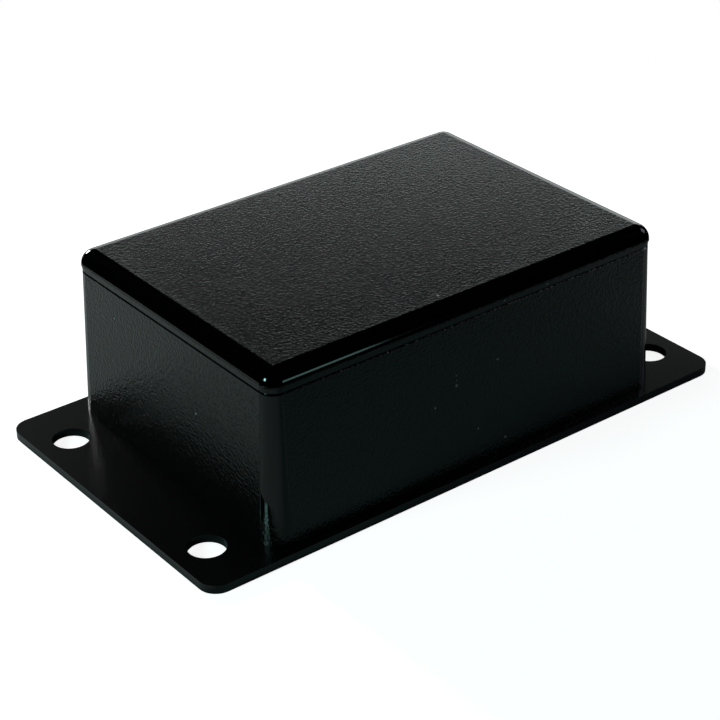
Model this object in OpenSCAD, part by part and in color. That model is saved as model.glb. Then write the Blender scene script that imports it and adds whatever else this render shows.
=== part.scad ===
// Flanged plastic project box: an open tub moulded in one with its mounting flange, and a push-fit lid.
// Millimetres, Z up. The origin is the middle of the underside, and the box's length runs along X.

/* [Tub] */
// Outside length of the walls where they meet the flange
foot_l = 77.2; // [60:0.2:120]
// Outside width of the walls where they meet the flange
foot_w = 53.5; // [40:0.1:90]
// Height of the rim that the lid sits on, above the underside
rim_h = 26.6; // [18:0.2:60]
// Lean of the outside of the walls, in degrees
wall_draft = 2.3; // [0.5:0.1:3]
// Thickness of the walls at the rim
wall_t = 1.8; // [1.5:0.1:3]
// Lean of the inside of the walls, in degrees
core_draft = 0.5; // [0.1:0.1:1]
// Radius of the inside corners at the floor
core_r = 1.2; // [1:0.1:2]
// Thickness of the floor
floor_t = 2; // [1.5:0.1:4]

/* [Flange] */
// Reach of the flange past the walls at each end
ear_l = 12.15; // [10:0.05:20]
// Reach of the flange past the walls along each side
lip_w = 1.75; // [0.4:0.05:10]
// Thickness of the flange
flange_t = 1.4; // [1:0.1:3]
// Radius of the flange's corners
flange_r = 3; // [0.5:0.5:6]
// Diameter of the four fixing holes
hole_d = 6; // [3:0.5:8]
// Distance of the hole centres from the flange's ends
hole_end_in = 5.75; // [4.25:0.25:8]
// Distance of the hole centres from the flange's sides
hole_side_in = 9.5; // [6:0.5:16]

/* [Board pillars] */
// Diameter of the pillars that a circuit board screws to
pillar_d = 6; // [5:0.5:8]
// Height of the pillars above the floor
pillar_h = 5; // [3:0.5:10]
// Diameter of the pilot holes for self-tapping screws
pilot_d = 2.2; // [1.5:0.1:3]
// Plastic left under each pilot hole
pilot_skin = 1.5; // [1:0.1:2.5]
// Distance of the pillar centres from the inside walls at the floor
pillar_in = 6.5; // [5:0.5:12]
// Thickness of the webs that tie each pillar to the walls
web_t = 1.2; // [0.8:0.1:2]
// Drop from the top of a pillar to the top of its webs
web_drop = 1; // [0.5:0.5:2]

/* [Lid] */
// Radius of the lid's rounded edge, and of the upright corners at the rim
edge_r = 2.5; // [1.5:0.1:4]
// Height of the flat band between the rim and the rounded edge
band_h = 0.9; // [0.6:0.1:4]
// Upright land between the band and the rounded edge
land_h = 0.1; // [0.1:0.1:1]
// Step by which the rounded edge stands proud of the band
crown_step = 0.1; // [0.05:0.05:0.4]
// Thickness of the lid's top
lid_t = 2; // [1.2:0.1:3]
// Depth of the skirt below the rim
skirt_h = 3; // [2:0.5:6]
// Thickness of the skirt
skirt_t = 1.2; // [0.8:0.1:2]
// Clearance between the skirt and the inside of the walls
fit_gap = 0.1; // [0.05:0.05:0.3]
// Bevel that guides the skirt into the tub
lead_in = 0.4; // [0.2:0.1:0.6]
// Bevel on both edges of the seam between the tub and the lid
seam_bevel = 0.2; // [0.1:0.05:0.3]

/* [Hidden] */
$fn = 72;
// Overlap that joins two solids, or carries a cut through a face
bite = 0.5;

// Sizes that come from an angle are rounded to this
grid = 0.01;
function rounded(size) = round(size / grid) * grid;

// Outline of the walls at the rim, which the lid's band continues
wall_lean = tan(wall_draft);
rim_run = rounded(wall_lean * (rim_h - flange_t));
rim_l = foot_l - 2 * rim_run;
rim_w = foot_w - 2 * rim_run;

// Inside of the tub at the floor; the lean widens it on the way up
core_lean = tan(core_draft);
core_run = rounded(core_lean * (rim_h - floor_t));
core_l = rim_l - 2 * (wall_t + core_run);
core_w = rim_w - 2 * (wall_t + core_run);

flange_l = foot_l + 2 * ear_l;
flange_w = foot_w + 2 * lip_w;
hole_x = flange_l / 2 - hole_end_in;
hole_y = flange_w / 2 - hole_side_in;

pillar_x = core_l / 2 - pillar_in;
pillar_y = core_w / 2 - pillar_in;
pillar_top = floor_t + pillar_h;
web_h = pillar_h - web_drop;

crown_z = rim_h + band_h;
lid_top = crown_z + land_h + edge_r;

// The skirt follows the inside walls down from the rim
skirt_foot = rim_h - skirt_h;
skirt_gap_run = fit_gap + rounded(core_lean * skirt_h);
skirt_l = rim_l - 2 * (wall_t + skirt_gap_run);
skirt_w = rim_w - 2 * (wall_t + skirt_gap_run);
skirt_r = core_r + rounded(core_lean * (skirt_foot - floor_t)) - fit_gap;

// Copies the children to the four corners of a rectangle of half sizes x and y
module at_corners(x, y) {
    for (side = [-1, 1], end = [-1, 1])
        translate([end * x, side * y, 0])
            children();
}

// Lays an XY outline on its side, so that it stands in the YZ plane, and runs it l along X
module run_along_x(l) {
    rotate([90, 0, 90])
        linear_extrude(height = l, center = true)
            children();
}

// Turned shape, with its facets set so that a flat one faces each side wall
module turned() {
    rotate([0, 0, 180 / $fn])
        children();
}

// Section w wide between its two edges, which follow the same steps. Each step is [inset, z],
// from the foot up; a negative inset stands out.
function section(w, steps) = concat(
    [for (step = steps) [w / 2 - step[0], step[1]]],
    [for (i = [len(steps) - 1:-1:0]) [steps[i][0] - w / 2, steps[i][1]]]);

// Half of that section, from the axis of a corner of radius r outwards
function half_section(r, steps) = concat(
    [[0, steps[0][1]]],
    [for (step = steps) [r - step[0], step[1]]],
    [[0, steps[len(steps) - 1][1]]]);

// Block of l by w with upright corners of radius r, whose sides follow the steps
module stepped_block(l, w, r, steps) {
    run_along_x(l - 2 * r)
        polygon(section(w, steps));
    rotate([0, 0, 90])
        run_along_x(w - 2 * r)
            polygon(section(l, steps));
    at_corners(l / 2 - r, w / 2 - r)
        turned()
            rotate_extrude()
                polygon(half_section(r, steps));
}

// Block of l by w, h high, that leans out by run on every side; its corners are cones
module flared_block(l, w, h, r, run) {
    run_along_x(l - 2 * r)
        polygon(section(w, [[0, 0], [-run, h]]));
    rotate([0, 0, 90])
        run_along_x(w - 2 * r)
            polygon(section(l, [[0, 0], [-run, h]]));
    at_corners(l / 2 - r, w / 2 - r)
        turned()
            cylinder(h = h, r1 = r, r2 = r + run);
}

// Upright block of l by w with corners of radius r
module prism(l, w, h, r) {
    linear_extrude(height = h) {
        square([l - 2 * r, w], center = true);
        square([l, w - 2 * r], center = true);
        at_corners(l / 2 - r, w / 2 - r)
            circle(r = r);
    }
}

// Four rods of radius r round a rectangle of half sizes x and y, with a ball at each corner
module rod_frame(x, y, r) {
    for (side = [-1, 1]) {
        translate([0, side * y, 0])
            rotate([0, 90, 0])
                cylinder(h = 2 * x, r = r, center = true);
        translate([side * x, 0, 0])
            rotate([90, 0, 0])
                cylinder(h = 2 * y, r = r, center = true);
    }
    at_corners(x, y)
        sphere(r = r);
}

// Block with its upright corners and its upper edge rounded to r
module pillow_block(l, w, h, r) {
    x = l / 2 - r;
    y = w / 2 - r;
    intersection() {
        union() {
            translate([0, 0, h - r])
                rod_frame(x, y, r);
            translate([-x, -y, 0])
                cube([2 * x, 2 * y, h]);
            prism(l, w, h - r, r);
        }
        translate([-l / 2, -w / 2, 0])
            cube([l, w, h]);
    }
}

module flange() {
    prism(flange_l, flange_w, flange_t, flange_r);
}

module walls() {
    bevel_z = rim_h - seam_bevel;
    stepped_block(foot_l, foot_w, edge_r + rim_run,
                  [[0, 0], [0, flange_t], [rim_run, bevel_z], [rim_run + seam_bevel, rim_h]]);
}

module core() {
    depth = rim_h - floor_t + bite;
    translate([0, 0, floor_t])
        flared_block(core_l, core_w, depth, core_r, rounded(core_lean * depth));
}

// Pillars that carry a circuit board, each tied to the walls by two webs
module pillars() {
    at_corners(pillar_x, pillar_y)
        translate([0, 0, floor_t - bite])
            cylinder(h = pillar_h + bite, d = pillar_d);
    web_reach = pillar_in + bite;
    for (side = [-1, 1], end = [-1, 1])
        translate([end * (pillar_x + web_reach / 2), side * pillar_y, floor_t + web_h / 2])
            cube([web_reach, web_t, web_h], center = true);
    for (side = [-1, 1], end = [-1, 1])
        translate([end * pillar_x, side * (pillar_y + web_reach / 2), floor_t + web_h / 2])
            cube([web_t, web_reach, web_h], center = true);
}

module pilot_holes() {
    at_corners(pillar_x, pillar_y)
        translate([0, 0, pilot_skin])
            cylinder(h = pillar_top, d = pilot_d);
}

module fixing_holes() {
    at_corners(hole_x, hole_y)
        translate([0, 0, -bite])
            cylinder(h = flange_t + 2 * bite, d = hole_d);
}

// The tub, its flange and its board pillars are one moulding
module tub() {
    color("#1c1c1e")
        difference() {
            union() {
                difference() {
                    union() {
                        flange();
                        walls();
                    }
                    core();
                }
                pillars();
            }
            pilot_holes();
            fixing_holes();
        }
}

// Upright band between the seam, where it is bevelled, and the rounded edge
module band() {
    stepped_block(rim_l, rim_w, edge_r,
                  [[seam_bevel, rim_h], [0, rim_h + seam_bevel], [0, crown_z + land_h]]);
}

// Top of the lid, which stands a little proud of the band and is rounded over
module crown() {
    translate([0, 0, crown_z])
        pillow_block(rim_l + 2 * crown_step, rim_w + 2 * crown_step, land_h + edge_r, edge_r);
}

// Skirt that pushes into the tub, bevelled at its foot
module skirt() {
    stepped_block(skirt_l, skirt_w, skirt_r,
                  [[lead_in, skirt_foot], [0, skirt_foot + lead_in], [0, rim_h + band_h]]);
}

// Hollow inside the skirt, up to the underside of the lid's top
module lid_hollow() {
    translate([0, 0, skirt_foot - bite])
        prism(skirt_l - 2 * skirt_t, skirt_w - 2 * skirt_t, lid_top - lid_t - skirt_foot + bite,
              core_r);
}

module lid() {
    color("#18181a")
        difference() {
            union() {
                band();
                crown();
                skirt();
            }
            lid_hollow();
        }
}

tub();
lid();
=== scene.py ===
"""Looks of a flanged plastic project box: moulded grain, polished edges and a studio round it."""

import math

import bpy
from mathutils import Matrix, Vector


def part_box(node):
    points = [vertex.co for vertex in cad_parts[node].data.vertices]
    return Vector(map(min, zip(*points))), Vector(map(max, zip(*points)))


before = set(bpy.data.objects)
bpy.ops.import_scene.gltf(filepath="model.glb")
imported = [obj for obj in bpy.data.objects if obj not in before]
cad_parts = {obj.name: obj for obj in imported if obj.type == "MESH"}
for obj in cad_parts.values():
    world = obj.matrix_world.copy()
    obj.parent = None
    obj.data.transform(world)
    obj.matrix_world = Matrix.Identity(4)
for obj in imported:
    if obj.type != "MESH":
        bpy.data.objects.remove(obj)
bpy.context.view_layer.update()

bl_info = {
    "name": "Flanged Project Box",
    "version": (1, 0, 0),
    "blender": (4, 5, 0),
    "location": "View3D > Sidebar > Project Box",
    "description": "Finishes the tub and the lid of a flanged plastic project box and lights them",
    "category": "Object",
}

MM = 0.001


# ---------------------------------------------------------------- sizes and colours

class PlasticSettings(bpy.types.PropertyGroup):
    """Colours and surface grain of the black plastic."""

    grained: bpy.props.FloatVectorProperty(
        name="Grained black", description="Colour of the plastic where it is textured",
        subtype="COLOR", size=3, min=0.0, max=1.0, default=(0.0015, 0.0016, 0.0015))
    polished: bpy.props.FloatVectorProperty(
        name="Polished black", description="Colour of the plastic where it is polished",
        subtype="COLOR", size=3, min=0.0, max=1.0, default=(0.0004, 0.0004, 0.0004))
    dust: bpy.props.FloatVectorProperty(
        name="Dust", description="Colour of the specks of dust", subtype="COLOR", size=3,
        min=0.0, max=1.0, default=(0.45, 0.45, 0.43))
    grain_size: bpy.props.FloatProperty(
        name="Grain size", description="Spacing of the spark-eroded grain",
        unit="LENGTH", default=0.38 * MM, min=0.05 * MM, max=2.0 * MM)
    lid_grain: bpy.props.FloatProperty(
        name="Lid grain", description="Depth of the spark-eroded grain on the lid",
        unit="LENGTH", default=0.042 * MM, min=0.0, max=0.5 * MM)
    tub_grain: bpy.props.FloatProperty(
        name="Tub grain", description="Depth of the spark-eroded grain on the tub's walls",
        unit="LENGTH", default=0.08 * MM, min=0.0, max=0.5 * MM)
    grain_roughness: bpy.props.FloatProperty(
        name="Grain roughness", description="Roughness of the textured faces",
        default=0.23, min=0.0, max=1.0)
    edge_roughness: bpy.props.FloatProperty(
        name="Edge roughness", description="Roughness of the polished edges and corners",
        default=0.07, min=0.0, max=1.0)
    flange_roughness: bpy.props.FloatProperty(
        name="Flange roughness", description="Roughness of the flange's top",
        default=0.2, min=0.0, max=1.0)
    polish_above: bpy.props.FloatProperty(
        name="Polish starts below top", description="Drop from the lid's top to the polished edge's lower border",
        unit="LENGTH", default=2.2 * MM, min=0.5 * MM, max=4.0 * MM)


class StudioSettings(bpy.types.PropertyGroup):
    """Floor, lamps and camera."""

    floor: bpy.props.FloatVectorProperty(
        name="Floor", description="Colour of the pale floor", subtype="COLOR", size=3,
        min=0.0, max=1.0, default=(0.7, 0.7, 0.7))
    key_power: bpy.props.FloatProperty(
        name="Key power", description="Power of the large lamp behind the box", unit="POWER",
        default=1.2, min=0.0)
    near_power: bpy.props.FloatProperty(
        name="Near power", description="Power of the small lamp close behind the left end",
        unit="POWER", default=0.5, min=0.0)
    side_power: bpy.props.FloatProperty(
        name="Side power", description="Power of the small lamp at the left", unit="POWER",
        default=1.1, min=0.0)
    front_power: bpy.props.FloatProperty(
        name="Front power", description="Power of the small lamp at the front right", unit="POWER",
        default=0.055, min=0.0)
    fill_power: bpy.props.FloatProperty(
        name="Fill power", description="Power of the high lamp at the right", unit="POWER",
        default=0.4, min=0.0)
    lens: bpy.props.FloatProperty(
        name="Lens", description="Focal length on a 36 mm sensor, in millimetres",
        default=102.055, min=20.0, max=300.0)
    turn: bpy.props.FloatProperty(
        name="Turn", description="Direction the camera looks from, about the upright axis",
        subtype="ANGLE", default=math.radians(-37.631))
    tilt: bpy.props.FloatProperty(
        name="Tilt", description="Height of the camera's view above level", subtype="ANGLE",
        default=math.radians(29.837))
    roll: bpy.props.FloatProperty(
        name="Roll", description="Lean of the camera about its own axis", subtype="ANGLE",
        default=math.radians(-0.805))
    distance: bpy.props.FloatProperty(
        name="Distance", description="From the aim to the camera", unit="LENGTH",
        default=318.8 * MM, min=0.1)
    aim: bpy.props.FloatVectorProperty(
        name="Aim", description="Point that the middle of the view falls on", subtype="TRANSLATION",
        size=3, default=(-7.16 * MM, -6.998 * MM, 13.5 * MM))


# ---------------------------------------------------------------- node building

def new_material(name):
    """An empty node material with its output, and the two things needed to fill it."""
    material = bpy.data.materials.new(name)
    material.use_nodes = True
    tree = material.node_tree
    tree.nodes.clear()
    return material, tree, tree.nodes.new("ShaderNodeOutputMaterial")


def math_node(tree, operation, first, second=None, third=None, clamp=False):
    """A Math node whose inputs are sockets or plain numbers; returns its result."""
    node = tree.nodes.new("ShaderNodeMath")
    node.operation = operation
    node.use_clamp = clamp
    for socket, value in zip(node.inputs, (first, second, third)):
        if value is None:
            continue
        if isinstance(value, bpy.types.NodeSocket):
            tree.links.new(value, socket)
        else:
            socket.default_value = value
    return node.outputs[0]


def ramp_between(tree, value, low, high):
    """0 below low, 1 above high, and smooth between them."""
    node = tree.nodes.new("ShaderNodeMapRange")
    node.interpolation_type = "SMOOTHSTEP"
    tree.links.new(value, node.inputs["Value"])
    node.inputs["From Min"].default_value = low
    node.inputs["From Max"].default_value = high
    return node.outputs["Result"]


def blend_value(tree, mask, low, high):
    """low where the mask is 0 and high where it is 1."""
    node = tree.nodes.new("ShaderNodeMix")
    tree.links.new(mask, node.inputs["Factor"])
    for socket, value in ((node.inputs[2], low), (node.inputs[3], high)):
        if isinstance(value, bpy.types.NodeSocket):
            tree.links.new(value, socket)
        else:
            socket.default_value = value
    return node.outputs[0]


def blend_colour(tree, mask, low, high):
    """The colour low where the mask is 0 and high where it is 1."""
    node = tree.nodes.new("ShaderNodeMix")
    node.data_type = "RGBA"
    tree.links.new(mask, node.inputs["Factor"])
    for socket, value in ((node.inputs[6], low), (node.inputs[7], high)):
        if isinstance(value, bpy.types.NodeSocket):
            tree.links.new(value, socket)
        else:
            socket.default_value = (*value, 1.0)
    return node.outputs[2]


def noise(tree, vector, scale, detail=2.0, roughness=0.5):
    node = tree.nodes.new("ShaderNodeTexNoise")
    tree.links.new(vector, node.inputs["Vector"])
    node.inputs["Scale"].default_value = scale
    node.inputs["Detail"].default_value = detail
    node.inputs["Roughness"].default_value = roughness
    return node.outputs["Fac"]


def group_with(name, inputs, outputs):
    """A new shader node group; inputs are (name, kind, default), outputs (name, kind)."""
    tree = bpy.data.node_groups.new(name, "ShaderNodeTree")
    for label, kind, default in inputs:
        socket = tree.interface.new_socket(name=label, in_out="INPUT", socket_type=kind)
        if default is not None:
            socket.default_value = default
    for label, kind in outputs:
        tree.interface.new_socket(name=label, in_out="OUTPUT", socket_type=kind)
    return tree, tree.nodes.new("NodeGroupInput"), tree.nodes.new("NodeGroupOutput")


def use_group(tree, group, **values):
    """Places a group; values are sockets or numbers, by input name with _ for a space."""
    node = tree.nodes.new("ShaderNodeGroup")
    node.node_tree = group
    for label, value in values.items():
        socket = node.inputs[label.replace("_", " ")]
        if isinstance(value, bpy.types.NodeSocket):
            tree.links.new(value, socket)
        else:
            socket.default_value = value
    return node


def moulded_grain():
    """Spark-eroded grain: a height for bump, and an uneven sheen."""
    found = bpy.data.node_groups.get("moulded_grain")
    if found:
        return found
    tree, given, out = group_with(
        "moulded_grain",
        [("Vector", "NodeSocketVector", None), ("Fineness", "NodeSocketFloat", 3000.0)],
        [("Height", "NodeSocketFloat"), ("Sheen", "NodeSocketFloat")])
    fine = tree.nodes.new("ShaderNodeTexNoise")
    tree.links.new(given.outputs["Vector"], fine.inputs["Vector"])
    tree.links.new(given.outputs["Fineness"], fine.inputs["Scale"])
    fine.inputs["Detail"].default_value = 1.0
    fine.inputs["Roughness"].default_value = 0.65
    cells = tree.nodes.new("ShaderNodeTexVoronoi")
    tree.links.new(given.outputs["Vector"], cells.inputs["Vector"])
    tree.links.new(math_node(tree, "MULTIPLY", given.outputs["Fineness"], 0.7), cells.inputs["Scale"])
    height = math_node(tree, "MULTIPLY_ADD", cells.outputs["Distance"], 0.5, fine.outputs["Fac"])
    broad = noise(tree, given.outputs["Vector"], 90.0, 3.0, 0.6)
    sheen = math_node(tree, "MULTIPLY_ADD", broad, 0.5, math_node(tree, "MULTIPLY", fine.outputs["Fac"], 0.5))
    tree.links.new(height, out.inputs["Height"])
    tree.links.new(sheen, out.inputs["Sheen"])
    return tree


def specks(tree, place, marks):
    """1 on small specks of dust; each mark is x, y, z and radius in millimetres."""
    total = None
    for *centre, radius in marks:
        away = tree.nodes.new("ShaderNodeVectorMath")
        away.operation = "DISTANCE"
        tree.links.new(place, away.inputs[0])
        away.inputs[1].default_value = [value * MM for value in centre]
        spot = ramp_between(tree, away.outputs["Value"], radius * MM, 0.4 * radius * MM)
        total = spot if total is None else math_node(tree, "MAXIMUM", total, spot)
    return total


def plastic(name, grain_depth, make_polish, marks):
    """Black moulded plastic with specks of dust at the marks.

    make_polish(tree, x, y, z) gives two masks: polished parts, and parts that are only smooth.
    """
    settings = bpy.context.scene.box_plastic
    material, tree, out = new_material(name)
    place = tree.nodes.new("ShaderNodeTexCoord").outputs["Object"]
    split = tree.nodes.new("ShaderNodeSeparateXYZ")
    tree.links.new(place, split.inputs[0])
    x = math_node(tree, "ABSOLUTE", split.outputs[0])
    y = math_node(tree, "ABSOLUTE", split.outputs[1])
    z = split.outputs[2]
    grain = use_group(tree, moulded_grain(), Vector=place, Fineness=1.0 / settings.grain_size)
    polish, semi = make_polish(tree, x, y, z)
    shader = tree.nodes.new("ShaderNodeBsdfPrincipled")
    shader.inputs["Specular IOR Level"].default_value = 0.5
    colour = blend_colour(tree, polish, tuple(settings.grained), tuple(settings.polished))
    dust = specks(tree, place, marks)
    tree.links.new(blend_colour(tree, dust, colour, tuple(settings.dust)), shader.inputs["Base Color"])
    rough = math_node(tree, "MULTIPLY_ADD", grain.outputs["Sheen"], 0.12, settings.grain_roughness - 0.06)
    rough = blend_value(tree, semi, rough, settings.flange_roughness)
    rough = blend_value(tree, polish, rough, settings.edge_roughness)
    rough = blend_value(tree, dust, rough, 0.7)
    tree.links.new(rough, shader.inputs["Roughness"])
    bump = tree.nodes.new("ShaderNodeBump")
    bump.inputs["Distance"].default_value = grain_depth
    calm = math_node(tree, "MAXIMUM", polish, semi)
    tree.links.new(math_node(tree, "MULTIPLY", grain.outputs["Height"],
                             math_node(tree, "SUBTRACT", 1.0, calm)), bump.inputs["Height"])
    tree.links.new(bump.outputs["Normal"], shader.inputs["Normal"])
    tree.links.new(shader.outputs["BSDF"], out.inputs["Surface"])
    return material


def clothe(node_name, material):
    """Puts the material in every slot of a CAD node."""
    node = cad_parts[node_name]
    if not node.material_slots:
        node.data.materials.append(material)
    for place in node.material_slots:
        place.material = material


# ---------------------------------------------------------------- pieces

# Specks of dust: x, y, z and radius in millimetres
LID_DUST = ((5.9, -25.7, 27.4, 0.25), (14.6, -25.7, 27.3, 0.2), (-4.1, -22.1, 30.1, 0.2))
TUB_DUST = ((-3.7, -26.2, 16.3, 0.3), (-3.7, -26.15, 17.2, 0.14), (-3.7, -26.1, 18.0, 0.14),
            (4.5, -26.1, 17.9, 0.25), (-7.9, -26.2, 14.0, 0.25), (0.5, -26.5, 7.3, 0.22),
            (6.0, -26.7, 3.7, 0.28), (-38.0, -7.1, 15.6, 0.22), (-37.8, 14.9, 22.2, 0.22))


class BOX_OT_finish_lid(bpy.types.Operator):
    """Grained top and band with a polished rounded edge, on the lid"""

    bl_idname = "box.finish_lid"
    bl_label = "Finish the lid"

    def execute(self, context):
        settings = context.scene.box_plastic
        low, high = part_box("lid")
        flat_x, flat_y = high.x - 2.5 * MM, high.y - 2.5 * MM

        def polish(tree, x, y, z):
            above = ramp_between(tree, z, high.z - settings.polish_above - 0.03 * MM,
                                 high.z - settings.polish_above + 0.03 * MM)
            past_x = ramp_between(tree, x, flat_x, flat_x + 0.05 * MM)
            past_y = ramp_between(tree, y, flat_y, flat_y + 0.05 * MM)
            edge = math_node(tree, "MULTIPLY", above, math_node(tree, "MAXIMUM", past_x, past_y))
            return edge, math_node(tree, "MULTIPLY", edge, 0.0)

        clothe("lid", plastic("lid_black", settings.lid_grain, polish, LID_DUST))
        return {"FINISHED"}


class BOX_OT_finish_tub(bpy.types.Operator):
    """Grained walls with polished upright corners and a semi-gloss flange, on the tub"""

    bl_idname = "box.finish_tub"
    bl_label = "Finish the tub"

    def execute(self, context):
        flange_top, foot_shine, full_shine = 1.4 * MM, 2.0 * MM, 9.0 * MM
        arc_x, arc_y = 35.09 * MM, 23.24 * MM

        def polish(tree, x, y, z):
            past_x = ramp_between(tree, x, arc_x + 0.1 * MM, arc_x + 0.3 * MM)
            past_y = ramp_between(tree, y, arc_y + 0.1 * MM, arc_y + 0.3 * MM)
            up = ramp_between(tree, z, flange_top + 0.05 * MM, flange_top + 0.15 * MM)
            shine = ramp_between(tree, z, foot_shine, full_shine)
            corners = math_node(tree, "MULTIPLY", math_node(tree, "MULTIPLY", past_x, past_y), shine)
            semi = math_node(tree, "SUBTRACT", 1.0, up)
            return corners, semi

        grain_depth = context.scene.box_plastic.tub_grain
        clothe("tub", plastic("tub_black", grain_depth, polish, TUB_DUST))
        return {"FINISHED"}


# ---------------------------------------------------------------- stage

TEAL = (0.5, 1.0, 0.92)
AIM_OF_LAMPS = Vector((0.0, 0.0, 0.012))


def lamp(name, bearing, height, distance, size, power, colour):
    """A soft panel that faces the box from a compass bearing (0 is +Y) and a height, in degrees."""
    bearing, height = math.radians(bearing), math.radians(height)
    outwards = Vector((math.sin(bearing) * math.cos(height), math.cos(bearing) * math.cos(height),
                       math.sin(height)))
    light = bpy.data.lights.new(name, "AREA")
    light.shape = "RECTANGLE"
    light.size, light.size_y = size
    light.energy = power
    light.color = colour
    lit = bpy.data.objects.new(name, light)
    bpy.context.scene.collection.objects.link(lit)
    lit.location = AIM_OF_LAMPS + distance * outwards
    lit.rotation_euler = outwards.to_track_quat("Z", "Y").to_euler()
    return lit


class BOX_OT_lay_stage(bpy.types.Operator):
    """Pale floor, soft lamps and the camera"""

    bl_idname = "box.lay_stage"
    bl_label = "Lay the stage"

    def execute(self, context):
        settings = context.scene.box_studio
        scene = context.scene
        bpy.ops.object.select_all(action="DESELECT")
        bpy.ops.mesh.primitive_plane_add(size=1.0, location=(0.0, 0.0, 0.0), scale=(1.0, 1.0, 1.0))
        floor = context.active_object
        floor.name = "studio_floor"
        floor.scale = (0.21, 0.2, 1.0)
        bpy.ops.object.transform_apply(scale=True)

        material, tree, out = new_material("pale_floor")
        path = tree.nodes.new("ShaderNodeLightPath")
        matt = tree.nodes.new("ShaderNodeBsdfDiffuse")
        matt.inputs["Color"].default_value = (*settings.floor, 1.0)
        glow = tree.nodes.new("ShaderNodeEmission")
        tree.links.new(math_node(tree, "MULTIPLY", path.outputs["Is Camera Ray"], 0.9), glow.inputs["Strength"])
        both = tree.nodes.new("ShaderNodeAddShader")
        tree.links.new(matt.outputs[0], both.inputs[0])
        tree.links.new(glow.outputs[0], both.inputs[1])
        tree.links.new(both.outputs[0], out.inputs["Surface"])
        floor.data.materials.append(material)

        world = bpy.data.worlds.new("dim_room")
        scene.world = world
        world.use_nodes = True
        nodes = world.node_tree
        nodes.nodes.clear()
        room = nodes.nodes.new("ShaderNodeBackground")
        room.inputs["Color"].default_value = (0.003, 0.003, 0.003, 1.0)
        white = nodes.nodes.new("ShaderNodeBackground")
        white.inputs["Color"].default_value = (1.0, 1.0, 1.0, 1.0)
        seen = nodes.nodes.new("ShaderNodeLightPath")
        mix = nodes.nodes.new("ShaderNodeMixShader")
        nodes.links.new(seen.outputs["Is Camera Ray"], mix.inputs[0])
        nodes.links.new(room.outputs[0], mix.inputs[1])
        nodes.links.new(white.outputs[0], mix.inputs[2])
        nodes.links.new(mix.outputs[0], nodes.nodes.new("ShaderNodeOutputWorld").inputs["Surface"])

        lamp("back_panel", 38, 11.5, 0.9, (0.84, 0.33), settings.key_power, (0.92, 1.0, 0.98))
        lamp("left_back_panel", -6, 19, 0.28, (0.06, 0.06), settings.near_power, (1.0, 1.0, 1.0))
        lamp("left_panel", -86, 23, 0.6, (0.13, 0.13), settings.side_power, TEAL)
        lamp("front_panel", 155, 6, 0.6, (0.1, 0.1), settings.front_power, TEAL)
        lamp("right_panel", 105, 30, 0.8, (0.3, 0.3), settings.fill_power, (0.8, 0.84, 1.0))

        camera = bpy.data.objects.new("camera", bpy.data.cameras.new("camera"))
        scene.collection.objects.link(camera)
        camera.data.lens = settings.lens
        camera.data.sensor_width = 36.0
        camera.data.clip_start = 0.01
        turned = (Matrix.Rotation(settings.turn, 4, "Z")
                  @ Matrix.Rotation(math.pi / 2 - settings.tilt, 4, "X")
                  @ Matrix.Rotation(settings.roll, 4, "Z"))
        back = turned.to_3x3() @ Vector((0.0, 0.0, 1.0))
        camera.matrix_world = Matrix.Translation(Vector(settings.aim) + settings.distance * back) @ turned
        scene.camera = camera
        scene.view_settings.view_transform = "Standard"
        return {"FINISHED"}


# ---------------------------------------------------------------- panel

class BOX_PT_project_box(bpy.types.Panel):
    """Lists the steps and their settings in the sidebar"""

    bl_idname = "BOX_PT_project_box"
    bl_label = "Project Box"
    bl_space_type = "VIEW_3D"
    bl_region_type = "UI"
    bl_category = "Project Box"

    def draw(self, context):
        column = self.layout.column()
        for group in (context.scene.box_plastic, context.scene.box_studio):
            for name in group.__annotations__:
                column.prop(group, name)
        for step in STEPS:
            column.operator("box." + step)


STEPS = ("finish_tub", "finish_lid", "lay_stage")
CLASSES = (PlasticSettings, StudioSettings, BOX_OT_finish_tub, BOX_OT_finish_lid, BOX_OT_lay_stage,
           BOX_PT_project_box)


def register():
    for each in CLASSES:
        bpy.utils.register_class(each)
    bpy.types.Scene.box_plastic = bpy.props.PointerProperty(type=PlasticSettings)
    bpy.types.Scene.box_studio = bpy.props.PointerProperty(type=StudioSettings)


def unregister():
    del bpy.types.Scene.box_studio
    del bpy.types.Scene.box_plastic
    for each in reversed(CLASSES):
        bpy.utils.unregister_class(each)


def main():
    register()
    for step in STEPS:
        getattr(bpy.ops.box, step)()


if __name__ == "__main__":
    main()
